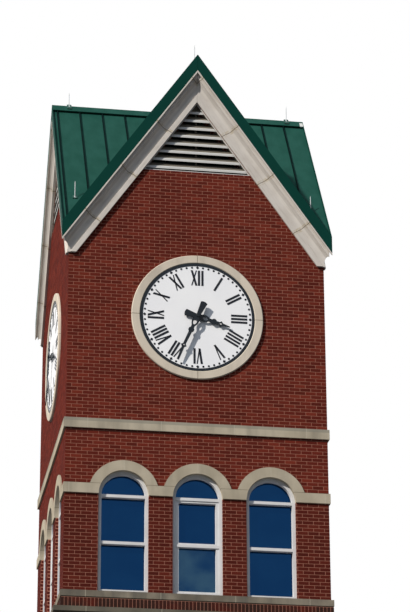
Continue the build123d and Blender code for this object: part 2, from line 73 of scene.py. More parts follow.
# Sizes of the front that the frame's boxes don't give
WINDOW_WIDTH = 0.92
WINDOW_PITCH = 1.36
BAND_HEIGHT = 0.19
MID_RAIL_HEIGHT = 0.935
ROOF_RISE_PER_RUN = 1.44
RIDGE_HALF_GAP = 0.002
ROOF_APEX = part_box("roof_slopes")[1].z + RIDGE_HALF_GAP * ROOF_RISE_PER_RUN

# The enamelled plates, from the face of the solid dials inside their rims
DIAL_RIM_RISE = 0.014
PLATE_RISE = 0.040
PLATE_RIM_RISE = 0.005
PLATE_RIM_WIDTH = 0.050
PLATE_HOLE = 0.024
RIM_PAINT_LAP = 0.0005

# Strips along the rakes: how far out of the wall, and how deep under the roof's upper face, square to it
BEAD = {"front": 0.1495, "back": 0.128, "top": 0.1485, "foot": 0.178}
FILLET = {"front": 0.055, "back": 0.020, "top": 0.428, "foot": 0.520}
STRIP_PAST_RIDGE = 0.5
STRIP_LENGTH = 6
EASED_EDGE = 0.003
EASED_STEPS = 2

# Brickwork, and the boxes that cut it
BRICK_LONG = 0.2032
COURSE = BRICK_LONG / 3
JOINT = 0.010
BRICK_PROUD = 0.003
BRICK_LET_IN = 0.001
STONE_JOINT = 0.003
CUTTER_DEPTH = 0.05
CUTTER_SPARE_WIDTH = 0.1
CUTTER_SPARE_HEIGHT = 1
HAIR = 0.0001

# Numerals and minute marks
NUMERALS = ["XII", "I", "II", "III", "IIII", "V", "VI", "VII", "VIII", "IX", "X", "XI"]
NUMERAL_INNER = 0.636
NUMERAL_OUTER = 0.944
NUMERAL_THICK = 0.040
NUMERAL_THIN = 0.021
NUMERAL_STEP = 0.066
NUMERAL_SPREAD = 0.088
MARK_RADIUS = 1.002
MINUTE_DOT = 0.020
HOUR_MARK = 0.031
FIGURE_RISE = 0.004
MINUTES = 60
MINUTES_PER_FIGURE = 5

# Sides of the round shapes
ARCH_SIDES = 72
DIAL_SIDES = 128
HOLE_SIDES = 48
DOT_SIDES = 12
LOZENGE_SIDES = 4
FLOOR_SIDES = 96

# Door pulls: a rose, a bar and its two feet, by half width, reach out of the leaf and heights
PULL_FROM_MIDDLE = 0.075
PULL_PARTS = [
    {"half": 0.025, "front": 0.006, "back": 0, "foot": 0.92, "head": 1.22},
    {"half": 0.010, "front": 0.050, "back": 0.032, "foot": 0.95, "head": 1.19},
    {"half": 0.008, "front": 0.040, "back": 0, "foot": 0.97, "head": 0.99},
    {"half": 0.008, "front": 0.040, "back": 0, "foot": 1.15, "head": 1.17},
]

# Joints, seams, stains, painted shade and painted reflections that the finishes draw: places, spacings, and
# reaches to each side of a line
MORTAR_EDGE = 0.002
REVEAL_DEPTH = 0.001
COURSE_JOINT = 0.004
CORNER_STONE = 0.11
CORNER_JOINT = 0.005
RING_JOINT = 0.006
STRING_STAIN_FOOT = STRING_TOP - 0.06
STRING_STAIN_TOP = STRING_TOP + 0.01
CORNICE_JOINT_FIRST = 0.415
CORNICE_JOINT_SPACING = 1.195
CORNICE_JOINT = 0.006
CORNICE_JOINT_STAIN = 0.05
LIP_DIRT_STRETCH = 0.1
VENT_SHADE_DEPTH = 0.035
REFLECTION_FLATNESS = 1.3
SEAM_SPACING = 0.4572
SEAM_FIRST_RIGHT = 0.100
SEAM_FIRST_LEFT = 0.430
SEAM_SHADE_REACH = 0.010
CLOSURE_START = ROOF_EDGE - 0.08
CLOSURE_TOP = ROOF_APEX + 0.035

# The rods of the air terminals: greater and lesser distance from the tower's middle planes
ROD_PLACES = [(2.300, 2.020), (2.368, 0.030), (2.238, 0.030)]
ROD_REACH = 0.016

# The camera, solved from the edges of the photograph
CAMERA_X = -7.03
CAMERA_Y = -47.10
CAMERA_BELOW_STRING = 16.22
CAMERA_YAW = 9.13
CAMERA_PITCH = 22.54
CAMERA_ROLL = -0.22
CAMERA_LENS = 153.2
CAMERA_FAR_LIMIT = 500

# The room's light by height, its tint, and the lamps: where each stands, its strength and its spread
ROOM_ABOVE = 0.24
ROOM_BELOW = 0.08
ROOM_FADE = (-0.15, 0.35)
SKY_TINT = (0.82, 0.94, 1.13)
KEY_TINT = (1.05, 0.99, 0.92)
LAMPS = {
    "key": {"toward": (-0.68, -0.43, 0.60), "energy": 4.4, "spread": 2, "tint": KEY_TINT},
    "front": {"toward": (-0.25, -0.5, 0.83), "energy": 0.4, "spread": 30, "tint": SKY_TINT},
    "fill": {"toward": (0.68, 0.60, 0.42), "energy": 1.9, "spread": 50, "tint": SKY_TINT},
}
LAMP_OUT_OF_MIRRORS = "front"
FLOOR_RADIUS = 40


def linear(level):
    """A display level of 0 to 1, as light."""
    return level / 12.92 if level < 0.04045 else ((level + 0.055) / 1.055) ** 2.4


def srgb(red, green, blue):
    """A colour of 0 to 255, as Blender's linear values."""
    return tuple(linear(channel / 255) for channel in (red, green, blue))


# Colours of the brickwork
BRICK_STOPS = [
    (0.0, srgb(77, 28, 21)), (0.3, srgb(91, 34, 26)),
    (0.7, srgb(102, 39, 29)), (1.0, srgb(119, 49, 36))]
BRICK_SOOT = srgb(68, 26, 22)
BRICK_STREAK = srgb(112, 50, 34)
BRICK_PAINTED_SHADE = srgb(62, 24, 19)
BRICK_GRIME_AND_SHADE = srgb(44, 35, 31)
MORTAR_DARK, MORTAR_LIGHT = srgb(162, 108, 90), srgb(190, 135, 114)

# Colours of the stone, light and dark
BUFF = srgb(187, 177, 157), srgb(169, 159, 139)
RING_BUFF = srgb(217, 206, 189), srgb(205, 194, 177)
SILL_GREY = srgb(148, 139, 123), srgb(104, 97, 86)
SHELF_GREY = srgb(112, 106, 93), srgb(86, 82, 73)
STONE_SOOT = srgb(88, 86, 80)
STRING_STAIN = srgb(134, 131, 120)
JOINT_PALE, JOINT_DARK = srgb(190, 184, 166), srgb(112, 104, 90)

# Colours of the cornice and the vents
CREAM, CREAM_DARK = srgb(207, 201, 193), srgb(195, 188, 179)
CREAM_DIRT = srgb(150, 138, 122)
CREAM_STAIN = srgb(176, 160, 124)
CREAM_SHADE = srgb(140, 134, 128)
LAP_SHADE = srgb(104, 92, 76)
VENT_WHITE, VENT_GREY = srgb(208, 208, 206), srgb(192, 192, 188)
VENT_PAINTED_SHADE = srgb(104, 98, 88)

# Colours of the windows, the door, the floors and the clock
GLASS_BLUE, GLASS_PALE_REFLECTION, GLASS_CLOUD_REFLECTION = srgb(6, 46, 85), srgb(16, 58, 97), srgb(50, 80, 102)
JOINERY_WHITE = srgb(216, 216, 216)
DOOR_GREEN = srgb(16, 56, 46)
PULL_GREY = srgb(150, 146, 136)
CONCRETE_GREY = srgb(140, 138, 132)
BOARD_BROWN = srgb(120, 96, 70)
ENAMEL, ENAMEL_DARK = srgb(247, 248, 249), srgb(240, 241, 244)
HAND_BLACK = srgb(24, 31, 38)
FIGURE_BLACK = srgb(20, 24, 32)

# Colours of the roof and its rods, and of the floor around the tower
ROOF_GREEN, ROOF_FADED, ROOF_DARK = srgb(27, 69, 60), srgb(34, 77, 68), srgb(26, 65, 57)
SEAM_PAINTED_SHADE = srgb(0, 18, 18)
FASCIA_GREEN = srgb(8, 57, 49)
CLOSURE_PALE = srgb(200, 203, 200)
ROD_BRIGHT, ROD_GREY = srgb(206, 209, 210), srgb(178, 182, 184)
FLOOR_DARK, FLOOR_PALE, FLOOR_SHADE = srgb(196, 196, 194), srgb(202, 202, 200), srgb(92, 92, 90)
WHITE = (1, 1, 1)

# Finish settings that several materials share
DULL = {"Specular_IOR_Level": 0.05}
SATIN = {"Specular_IOR_Level": 0.15}
COATED_METAL = {"Roughness": 0.6, "Specular_IOR_Level": 0.03}
PAINT_SHADE = 0.85


class Socket:
    """One node output, so that shader maths reads as plain expressions."""

    def __init__(self, tree, output):
        self.tree, self.output = tree, output

    def _math(self, operation, *values):
        return add_node(self.tree, "ShaderNodeMath", {"operation": operation}, dict(enumerate(values)))

    def __add__(self, other):
        return self._math("ADD", self, other)

    def __radd__(self, other):
        return self._math("ADD", other, self)

    def __sub__(self, other):
        return self._math("SUBTRACT", self, other)

    def __rsub__(self, other):
        return self._math("SUBTRACT", other, self)

    def __mul__(self, other):
        return self._math("MULTIPLY", self, other)

    def __rmul__(self, other):
        return self._math("MULTIPLY", other, self)

    def __truediv__(self, other):
        return self._math("DIVIDE", self, other)

    def __gt__(self, other):
        return self._math("GREATER_THAN", self, other)

    def __lt__(self, other):
        return self._math("LESS_THAN", self, other)

    def absolute(self):
        return self._math("ABSOLUTE", self)

    def larger(self, other):
        return self._math("MAXIMUM", self, other)

    def smaller(self, other):
        return self._math("MINIMUM", self, other)

    def floor(self):
        return self._math("FLOOR", self)

    def root(self):
        return self._math("SQRT", self)

    def from_multiple(self, spacing):
        """The distance from the nearest multiple of a spacing."""
        share = self._math("FRACT", self / spacing)
        return self._math("PINGPONG", share, 0.5) * spacing

    def within(self, spacing):
        """What is left over after whole spacings."""
        return self._math("FRACT", self / spacing) * spacing

    def smooth(self, low, high):
        """0 below low, 1 above high, and smooth between."""
        values = {0: self, 1: low, 2: high, 3: 0.0, 4: 1.0}
        return add_node(self.tree, "ShaderNodeMapRange", {"interpolation_type": "SMOOTHSTEP"}, values)


def add_node(tree, kind, settings=None, sockets=None, out=0):
    """Adds a node to a tree and returns one of its outputs."""
    node = tree.nodes.new(kind)
    for name, value in (settings or {}).items():
        if name == "stops":
            ramp = node.color_ramp
            while len(ramp.elements) < len(value):
                ramp.elements.new(1.0)
            for element, (place, colour) in zip(ramp.elements, value):
                element.position, element.color = place, (*colour, 1)
        else:
            setattr(node, name, value)
    for name, value in (sockets or {}).items():
        if isinstance(value, Socket):
            tree.links.new(value.output, node.inputs[name])
        else:
            node.inputs[name].default_value = value
    return Socket(tree, node.outputs[out])


def mix(factor, first, second):
    """The first colour where the factor is 0, the second where it is 1."""
    node = factor.tree.nodes.new("ShaderNodeMix")
    node.data_type = "RGBA"
    for name, value in (("Factor", factor), ("A", first), ("B", second)):
        socket = [s for s in node.inputs if s.name == name and (s.type == "RGBA") == (name != "Factor")][0]
        if isinstance(value, Socket):
            factor.tree.links.new(value.output, socket)
        else:
            socket.default_value = (*value, 1)
    return Socket(factor.tree, [s for s in node.outputs if s.type == "RGBA"][0])


def tinted(colour, tint, mask, strength):
    """A colour that goes over to a tint under a mask, as far as the strength says."""
    return mix(mask * strength, colour, tint)


class Finish:
    """A material with its object coordinates at hand."""

    def __init__(self, name, **constants):
        self.material = bpy.data.materials.new(name)
        self.material.use_nodes = True
        self.tree = self.material.node_tree
        self.shader = self.tree.nodes["Principled BSDF"]
        for socket, value in constants.items():
            self.shader.inputs[socket.replace("_", " ")].default_value = value
        self.place = self.node("ShaderNodeTexCoord", out="Object")
        self.x, self.y, self.z = self.split(self.place)

    def node(self, kind, settings=None, sockets=None, out=0):
        """Adds a node to the material and returns one of its outputs."""
        return add_node(self.tree, kind, settings, sockets, out)

    def split(self, vector):
        """The X, Y and Z of a vector."""
        node = self.tree.nodes.new("ShaderNodeSeparateXYZ")
        self.tree.links.new(vector.output, node.inputs[0])
        return [Socket(self.tree, output) for output in node.outputs]

    def vector(self, x, y, z):
        """A vector from its X, Y and Z."""
        return self.node("ShaderNodeCombineXYZ", None, {0: x, 1: y, 2: z})

    def noise(self, scale, detail=3, vector=None):
        """Cloudy noise, finer for a larger scale."""
        values = {"Vector": vector or self.place, "Scale": scale, "Detail": detail}
        return self.node("ShaderNodeTexNoise", None, values)

    def patches(self, scale, detail, low, high):
        """Noise as soft patches: 0 below low, 1 above high."""
        return self.noise(scale, detail).smooth(low, high)

    def streaks(self, level_scale, fall_scale, low, high):
        """Patches drawn out downwards, as rain leaves them."""
        drawn_out = self.vector(self.x * level_scale, self.y * level_scale, self.z * fall_scale)
        return self.noise(scale=1, detail=4, vector=drawn_out).smooth(low, high)

    def normal(self):
        """The three parts of the surface normal."""
        return self.split(self.node("ShaderNodeNewGeometry", out="Normal"))

    def along(self):
        """The level coordinate along a wall: X on the front and back faces, Y on the others."""
        nx, ny, _ = self.normal()
        return self.x + (self.y - self.x) * (nx.absolute() > ny.absolute())

    def outward(self):
        """The greater distance from the tower's two upright middle planes."""
        return self.x.absolute().larger(self.y.absolute())

    def inward(self):
        """The lesser distance from the tower's two upright middle planes."""
        return self.x.absolute().smaller(self.y.absolute())

    def set(self, **links):
        """Links outputs to the shader's sockets, whose names take underscores for spaces."""
        for socket, value in links.items():
            self.tree.links.new(value.output, self.shader.inputs[socket.replace("_", " ")])

    def bump(self, height, strength, distance):
        """Links a bump to the shader's normal."""
        values = {"Height": height, "Strength": strength, "Distance": distance}
        self.set(Normal=self.node("ShaderNodeBump", None, values))


def brick_clay(f, tone):
    """Fired clay for a brick's own tone of 0 to 1, with painted shade from the top of the belfry's stone
    band down.
    """
    grain = f.noise(scale=90, detail=5)
    shade = tone * 0.8 + grain * 0.2
    clay = f.node("ShaderNodeValToRGB", {"stops": BRICK_STOPS}, {0: shade})
    sooty = tinted(clay, BRICK_SOOT, f.patches(scale=0.8, detail=3, low=0.4, high=0.75), strength=0.25)
    streaks = f.streaks(level_scale=5, fall_scale=0.5, low=0.55, high=0.8)
    streaked = tinted(sooty, BRICK_STREAK, streaks, strength=0.2)
    # Painted shade: the brick goes darker from the top of the belfry's stone band down
    return tinted(streaked, BRICK_PAINTED_SHADE, f.z < BELFRY_SPRING + BAND_HEIGHT, strength=0.45)


def brick_finish(name, grime_and_shade=0.0):
    """Dark red wire-cut brick, each brick its own tone, under more or less grey grime and painted shade."""
    f = Finish(name, Roughness=0.9, **DULL)
    clay = brick_clay(f, f.node("ShaderNodeNewGeometry", out="Random Per Island"))
    dirt = f.patches(scale=3, detail=4, low=0.2, high=0.6)
    # Grey patches: grime, and on the soldier course under the sills also painted shade
    f.set(Base_Color=tinted(clay, BRICK_GRIME_AND_SHADE, dirt, strength=grime_and_shade))
    f.bump(f.noise(scale=160, detail=4), strength=0.35, distance=0.003)
    return f.material


def wall_finish(name, foot, face):
    """Mortar on the wall's own face, which carries the bricks, and running bond on its reveals."""
    f = Finish(name, Roughness=0.9, **DULL)
    height = f.z - foot
    row = (height / COURSE).floor()
    shifted = f.along() + row * (BRICK_LONG / 2)
    across, upward = shifted.from_multiple(BRICK_LONG), height.from_multiple(COURSE)
    edge = (JOINT / 2, JOINT / 2 + MORTAR_EDGE)
    brick = across.smooth(*edge) * upward.smooth(*edge) * (f.outward() < face - REVEAL_DEPTH)
    each = f.vector((shifted / BRICK_LONG).floor(), row, 0.5)
    tone = f.node("ShaderNodeTexWhiteNoise", {"noise_dimensions": "3D"}, {"Vector": each})
    sand = f.noise(scale=120, detail=4)
    mortar = mix(sand, MORTAR_DARK, MORTAR_LIGHT)
    f.set(Base_Color=mix(brick, mortar, brick_clay(f, tone)))
    f.bump(brick * 0.6 + sand * 0.2, strength=0.5, distance=0.006)
    return f.material


def course_joints(f):
    """Cross joints of a course, a window pitch apart and in line with the piers between the windows."""
    return (f.along() - WINDOW_PITCH / 2).from_multiple(WINDOW_PITCH) < COURSE_JOINT


def arcade_joints(f):
    """The crown joint of each arch, and the joint inward of each corner stone of the band."""
    height = (f.z - BELFRY_SPRING - BAND_HEIGHT).within(STOREY)
    crown = (f.along().from_multiple(WINDOW_PITCH) < COURSE_JOINT) * (height < ARCH_RADIUS)
    corner = (f.along().absolute() - STRING_EDGE + CORNER_STONE).absolute() < CORNER_JOINT
    return crown.larger(corner)


def ring_joints(f):
    """The joints that part a ring's four stones, level with the dial's centre and over it."""
    return f.along().absolute().smaller((f.z - DIAL_CENTRE).absolute()) < RING_JOINT


def stone_finish(name, tones, weathering, find_joints=None, joint=JOINT_PALE, springing=False):
    """Limestone with faint mottling, rain streaks and, where given, its joints."""
    f = Finish(name, Roughness=0.85, **DULL)
    light, dark = tones
    grain = f.noise(scale=70, detail=4)
    stone = mix(f.patches(scale=1.6, detail=5, low=0.3, high=0.7), light, dark)
    stone = tinted(stone, dark, grain.smooth(0.35, 0.7), strength=0.2)
    _, _, nz = f.normal()
    ledge = nz > 0.4
    streaks = f.streaks(level_scale=4, fall_scale=0.7, low=0.42, high=0.72)
    stone = tinted(stone, STONE_SOOT, streaks.larger(ledge), strength=weathering)
    stained = (f.z > STRING_STAIN_FOOT) * (f.z < STRING_STAIN_TOP)
    stone = tinted(stone, STRING_STAIN, stained, strength=0.6)
    if find_joints:
        stone = tinted(stone, joint, find_joints(f), strength=0.7)
    if springing:
        bed = (f.z - BELFRY_SPRING - BAND_HEIGHT).from_multiple(STOREY) < COURSE_JOINT
        stone = mix(bed, stone, JOINT_DARK)
    f.set(Base_Color=stone)
    f.bump(grain, strength=0.25, distance=0.004)
    return f.material


def paint_finish(name, colour, roughness, metallic=0.0, specular=0.2):
    """Brushed or sprayed paint with faint dirt."""
    f = Finish(name, Roughness=roughness, Metallic=metallic, Specular_IOR_Level=specular)
    fine = f.noise(scale=45)
    dirt = f.patches(scale=3, detail=5, low=0.35, high=0.8) * 0.7 + fine * 0.2
    f.set(Base_Color=mix(dirt, colour, tuple(c * PAINT_SHADE for c in colour)))
    f.bump(fine, strength=0.08, distance=0.002)
    return f.material


def cornice_finish():
    """Cream painted cornice, stained along its lips and round its lapped joints, which cross the rake, with
    painted shade on its undersides.
    """
    f = Finish("cornice_paint", Roughness=0.65, **SATIN)
    _, _, nz = f.normal()
    shaded_underside = nz < -0.3
    slope = math.hypot(1, ROOF_RISE_PER_RUN)
    below = ROOF_APEX - f.z
    run = (f.inward() + below * ROOF_RISE_PER_RUN) / slope
    drop = (below - f.inward() * ROOF_RISE_PER_RUN) / slope
    from_joint = (run - CORNICE_JOINT_FIRST).from_multiple(CORNICE_JOINT_SPACING)
    drawn_out = f.vector(run * LIP_DIRT_STRETCH, drop, 0)
    dirt = f.noise(scale=26, detail=3, vector=drawn_out).smooth(0.5, 0.75)
    stain = (from_joint < CORNICE_JOINT_STAIN) * f.patches(scale=18, detail=3, low=0.35, high=0.7)
    paint = mix(f.patches(scale=2.4, detail=5, low=0.35, high=0.75), CREAM, CREAM_DARK)
    paint = tinted(paint, CREAM_DIRT, dirt, strength=0.3)
    paint = tinted(paint, CREAM_STAIN, stain, strength=0.6)
    # Painted shade: the faces that point down go darker
    paint = tinted(paint, CREAM_SHADE, shaded_underside, strength=0.3)
    f.set(Base_Color=mix(from_joint < CORNICE_JOINT, paint, LAP_SHADE))
    f.bump(f.noise(scale=50), strength=0.1, distance=0.002)
    return f.material


def vent_finish():
    """Off-white louvre, with painted shade where its blades face down and deep between them."""
    f = Finish("vent_paint", Roughness=0.6, **SATIN)
    _, _, nz = f.normal()
    shaded_underside = nz < -0.2
    deep_shade = f.outward() < FACE - VENT_SHADE_DEPTH
    paint = mix(f.noise(scale=6, detail=4), VENT_WHITE, VENT_GREY)
    # Painted shade on the blades' undersides and deep between the blades
    f.set(Base_Color=mix(shaded_underside.larger(deep_shade), paint, VENT_PAINTED_SHADE))
    f.bump(f.noise(scale=60), strength=0.1, distance=0.002)
    return f.material


def glass_finish():
    """Dark blue mirror glass with painted cloud reflections, faint on every pane and strongest in the lower
    sash of the middle windows.
    """
    f = Finish("deep_blue_glass", Roughness=0.05, Metallic=0.92)
    above = (f.z - BELFRY_FOOT).within(STOREY)
    lower_sash = (f.along().absolute() < WINDOW_PITCH / 2) * (above < MID_RAIL_HEIGHT)
    flattened = f.vector(f.x, f.y, f.z * REFLECTION_FLATNESS)
    # Painted reflection: cloud shapes make the glass paler, and grey-green in the middle windows' lower
    # sash
    cloud_reflection = f.noise(scale=1.3, detail=4, vector=flattened).smooth(0.35, 0.7)
    blue = tinted(GLASS_BLUE, GLASS_PALE_REFLECTION, cloud_reflection, strength=0.25)
    lower_sash_reflection = lower_sash * (cloud_reflection * 0.75 + 0.1)
    f.set(Base_Color=mix(lower_sash_reflection, blue, GLASS_CLOUD_REFLECTION))
    f.bump(f.noise(scale=2.5, detail=2), strength=0.04, distance=0.01)
    return f.material


def dial_finish():
    """White enamel, with the dark rim at the dial's edge."""
    f = Finish("dial_enamel", Roughness=0.4, Specular_IOR_Level=0.2)
    along = f.along()
    up = f.z - DIAL_CENTRE
    rim = (along * along + up * up).root() > DIAL_RADIUS - PLATE_RIM_WIDTH - RIM_PAINT_LAP
    white = mix(f.patches(scale=1.2, detail=4, low=0.3, high=0.8), ENAMEL, ENAMEL_DARK)
    f.set(Base_Color=mix(rim, white, HAND_BLACK))
    return f.material


def roof_green(f):
    """The coated metal's green, a little faded in the fall of the rain."""
    faded = f.streaks(level_scale=5, fall_scale=0.35, low=0.3, high=0.75)
    green = mix(faded, ROOF_GREEN, ROOF_FADED)
    return tinted(green, ROOF_DARK, f.patches(scale=2.2, detail=3, low=0.45, high=0.8), strength=0.2)


def roof_finish():
    """Green sheet metal in pans, with painted shade dark on each standing seam and just beside it."""
    f = Finish("green_roof_metal", **COATED_METAL)
    turned = ((f.x * f.y > 0) - (f.x.absolute() > f.y.absolute())).absolute()
    first = turned * (SEAM_FIRST_LEFT - SEAM_FIRST_RIGHT) + SEAM_FIRST_RIGHT
    from_seam = (ROOF_EDGE - f.outward() - first).from_multiple(SEAM_SPACING)
    # Painted shade: each standing seam and a strip beside it are dark
    f.set(Base_Color=mix(from_seam < SEAM_SHADE_REACH, roof_green(f), SEAM_PAINTED_SHADE))
    return f.material


def ridge_finish():
    """The same metal on the ridge caps, with a pale closure at one ridge's end."""
    f = Finish("green_ridge_metal", **COATED_METAL)
    closure = (f.x > CLOSURE_START) * (f.z < CLOSURE_TOP)
    f.set(Base_Color=mix(closure, roof_green(f), CLOSURE_PALE))
    return f.material


def rod_finish():
    """Bright rods on green saddles."""
    f = Finish("rod_metal", Roughness=0.45, Metallic=0.1, Specular_IOR_Level=0.2)
    reaches = []
    for outward, inward in ROD_PLACES:
        across, along = f.outward() - outward, f.inward() - inward
        reaches.append((across * across + along * along).root())
    corner, outer, inner = reaches
    saddle = corner.smaller(outer).smaller(inner) > ROD_REACH
    bright = mix(f.noise(scale=30), ROD_BRIGHT, ROD_GREY)
    f.set(Base_Color=mix(saddle, bright, roof_green(f)))
    return f.material


def clear_selection():
    """Nothing stays selected."""
    bpy.ops.object.select_all(action="DESELECT")


def select_only(*pieces):
    """The pieces are selected, the first one active, and nothing else is."""
    clear_selection()
    for piece in pieces:
        piece.select_set(True)
    bpy.context.view_layer.objects.active = pieces[0]


def place_in_mesh(piece):
    """The piece's place, turn and scale go into its mesh."""
    select_only(piece)
    bpy.ops.object.transform_apply(location=True, rotation=True, scale=True)
    return piece


def block(low, high):
    """A box from its lowest corner to its highest one."""
    clear_selection()
    middle = [(a + b) / 2 for a, b in zip(low, high)]
    size = [b - a for a, b in zip(low, high)]
    bpy.ops.mesh.primitive_cube_add(size=1, location=middle, scale=size)
    return place_in_mesh(bpy.context.object)


def disc(x, z, radius, y_front, y_back, sides=ARCH_SIDES):
    """A cylinder whose axis runs front to back."""
    clear_selection()
    bpy.ops.mesh.primitive_cylinder_add(
        vertices=sides, radius=radius, depth=y_back - y_front,
        location=(x, (y_front + y_back) / 2, z), rotation=(math.pi / 2, 0, 0))
    return place_in_mesh(bpy.context.object)


def keep_below(piece, point, normal):
    """Cuts off what lies beyond a plane, on the side that its normal points to, and closes the cut."""
    select_only(piece)
    bpy.ops.object.mode_set(mode="EDIT")
    bpy.ops.mesh.select_all(action="SELECT")
    # The operator holds each part of a normal to 1 at most, so it is given one of length 1
    unit_normal = Vector(normal).normalized()
    bpy.ops.mesh.bisect(plane_co=point, plane_no=unit_normal, use_fill=True, clear_outer=True)
    bpy.ops.object.mode_set(mode="OBJECT")
    return piece


def apply_modifier(piece, kind, **settings):
    """A modifier with its settings, applied at once."""
    select_only(piece)
    modifier = piece.modifiers.new(kind.lower(), kind)
    for name, value in settings.items():
        setattr(modifier, name, value)
    bpy.ops.object.modifier_apply(modifier=modifier.name)
    return piece


def ease_edges(piece):
    """Small rounds on a piece's edges."""
    return apply_modifier(piece, "BEVEL", width=EASED_EDGE, segments=EASED_STEPS)


def combine(piece, cutter, operation="DIFFERENCE"):
    """A boolean that uses its cutter up."""
    apply_modifier(piece, "BOOLEAN", operation=operation, object=cutter, solver="MANIFOLD")
    bpy.data.objects.remove(cutter)
    return piece


def repeat(piece, count, step):
    """A row of copies at a constant step."""
    return apply_modifier(
        piece, "ARRAY", count=count, use_relative_offset=False,
        use_constant_offset=True, constant_offset_displace=step)


def joined(name, pieces):
    """Several pieces made into one, under a new name."""
    select_only(*pieces)
    if len(pieces) > 1:
        bpy.ops.object.join()
    pieces[0].name = name
    return pieces[0]


def turned_copy(piece, name, side):
    """A copy of a front piece with its own mesh, turned to one of the sides."""
    copy = piece.copy()
    copy.data = piece.data.copy()
    bpy.context.scene.collection.objects.link(copy)
    copy.name = copy.data.name = name
    copy.rotation_euler.z = math.radians(SIDES[side])
    return place_in_mesh(copy)


def dress(piece, material):
    """A new piece takes its finish and rides on the tower."""
    piece.data.materials.clear()
    piece.data.materials.append(material)
    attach(piece, "root")


def dress_sides(piece, name, material):
    """A copy of a front piece on each side, and the piece itself goes."""
    for side in SIDES:
        dress(turned_copy(piece, f"{name}_{side}", side), material)
    bpy.data.objects.remove(piece)


def cutter_depths(face):
    """Front and back limits of a cutter through the bricks of a face."""
    return -face - CUTTER_DEPTH, -face + CUTTER_DEPTH


def brick_sheet(face, reach, foot, top, swap):
    """Running-bond bricks proud of a front face, whose rows end in whole and in cut bricks by turns."""
    count = round(2 * reach / BRICK_LONG)
    pitch = (2 * reach + JOINT) / count
    y_front, y_back = -face - BRICK_PROUD, -face + BRICK_LET_IN
    rows = []
    for parity in (0, 1):
        halved = (parity + swap) % 2
        x = -reach - halved * pitch / 2
        z = foot + parity * COURSE + JOINT / 2
        brick = block((x, y_front, z), (x + pitch - JOINT, y_back, z + COURSE - JOINT))
        repeat(brick, count + halved, (pitch, 0, 0))
        rows.append(repeat(brick, math.ceil((top - foot) / COURSE / 2), (0, 0, 2 * COURSE)))
    sheet = joined("bricks", rows)
    y_front, y_back = cutter_depths(face)
    clip = block((-reach + HAIR, y_front, foot), (reach - HAIR, y_back, top))
    return combine(sheet, clip, "INTERSECT")


def cut_arcade(sheet, face, sill, spring):
    """Takes the arcade's stone and the window openings out of a sheet of bricks."""
    y_front, y_back = cutter_depths(face)
    far = 2 * face
    band_low = (-far, y_front, spring - STONE_JOINT)
    band_high = (far, y_back, spring + BAND_HEIGHT + STONE_JOINT)
    combine(sheet, block(band_low, band_high))
    half = WINDOW_WIDTH / 2
    for x in (-WINDOW_PITCH, 0, WINDOW_PITCH):
        combine(sheet, block((x - half, y_front, sill - COURSE), (x + half, y_back, spring)))
        arch = disc(x, spring, ARCH_RADIUS + STONE_JOINT, y_front, y_back)
        combine(sheet, keep_below(arch, (x, 0, spring), (0, 0, -1)))


def gable_sheet(reach, swap):
    """Bricks of a gable, up to the vent and the raking cornices, round the stone ring."""
    sheet = brick_sheet(FACE, reach, STRING_TOP, VENT_LOW.z, swap)
    y_front, y_back = cutter_depths(FACE)
    wide = reach + CUTTER_SPARE_WIDTH
    for hand in (1, -1):
        high = (wide, y_back, VENT_HIGH.z + CUTTER_SPARE_HEIGHT)
        above = block((-wide, y_front, CORNICE_FOOT - STONE_JOINT), high)
        keep_below(above, (0, 0, VENT_HIGH.z - STONE_JOINT), (-hand * ROOF_RISE_PER_RUN, 0, -1))
        combine(sheet, above)
    ring = disc(0, DIAL_CENTRE, RING_RADIUS + STONE_JOINT, y_front, y_back, DIAL_SIDES)
    return combine(sheet, ring)


def belfry_sheet(reach, swap):
    """Bricks of the storey with the upper windows."""
    sheet = brick_sheet(FACE, reach, BELFRY_FOOT, STRING_FOOT, swap)
    cut_arcade(sheet, FACE, BELFRY_FOOT, BELFRY_SPRING)
    return sheet


def middle_sheet(reach, swap):
    """Bricks of the shaft's middle storey."""
    sheet = brick_sheet(SHAFT_FACE, reach, MIDDLE_FOOT, SHAFT_TOP, swap)
    cut_arcade(sheet, SHAFT_FACE, MIDDLE_FOOT, MIDDLE_FOOT + WINDOW_LEG)
    return sheet


def lower_sheet(reach, swap):
    """Bricks from the plinth up to the middle sills."""
    sheet = brick_sheet(SHAFT_FACE, reach, PLINTH_TOP, LOWER_TOP, swap)
    y_front, y_back = cutter_depths(SHAFT_FACE)
    far = 2 * SHAFT_FACE
    combine(sheet, block((-far, y_front, LOWER_SILL - STONE_JOINT), (far, y_back, LOWER_FOOT)))
    cut_arcade(sheet, SHAFT_FACE, LOWER_FOOT, LOWER_FOOT + WINDOW_LEG)
    return sheet


def cut_door(sheet):
    """Takes the door's stone surround out of the front's lower bricks."""
    y_front, y_back = cutter_depths(SHAFT_FACE)
    half = DOOR_HIGH.x + STONE_JOINT
    spring = DOOR_HIGH.z - DOOR_HIGH.x
    combine(sheet, block((-half, y_front, 0), (half, y_back, spring)))
    arch = disc(0, spring, half, y_front, y_back)
    combine(sheet, keep_below(arch, (0, 0, spring), (0, 0, -1)))


def soldier_sheet(reach):
    """The course of upright bricks under the upper sills."""
    count = round(2 * reach / COURSE)
    pitch = (2 * reach + JOINT) / count
    face = SOLDIER_HIGH.x
    low = (-reach, -face - BRICK_PROUD, SOLDIER_LOW.z + JOINT / 2)
    high = (-reach + pitch - JOINT, -face + BRICK_LET_IN, SOLDIER_HIGH.z - JOINT / 2)
    return repeat(block(low, high), count, (pitch, 0, 0))


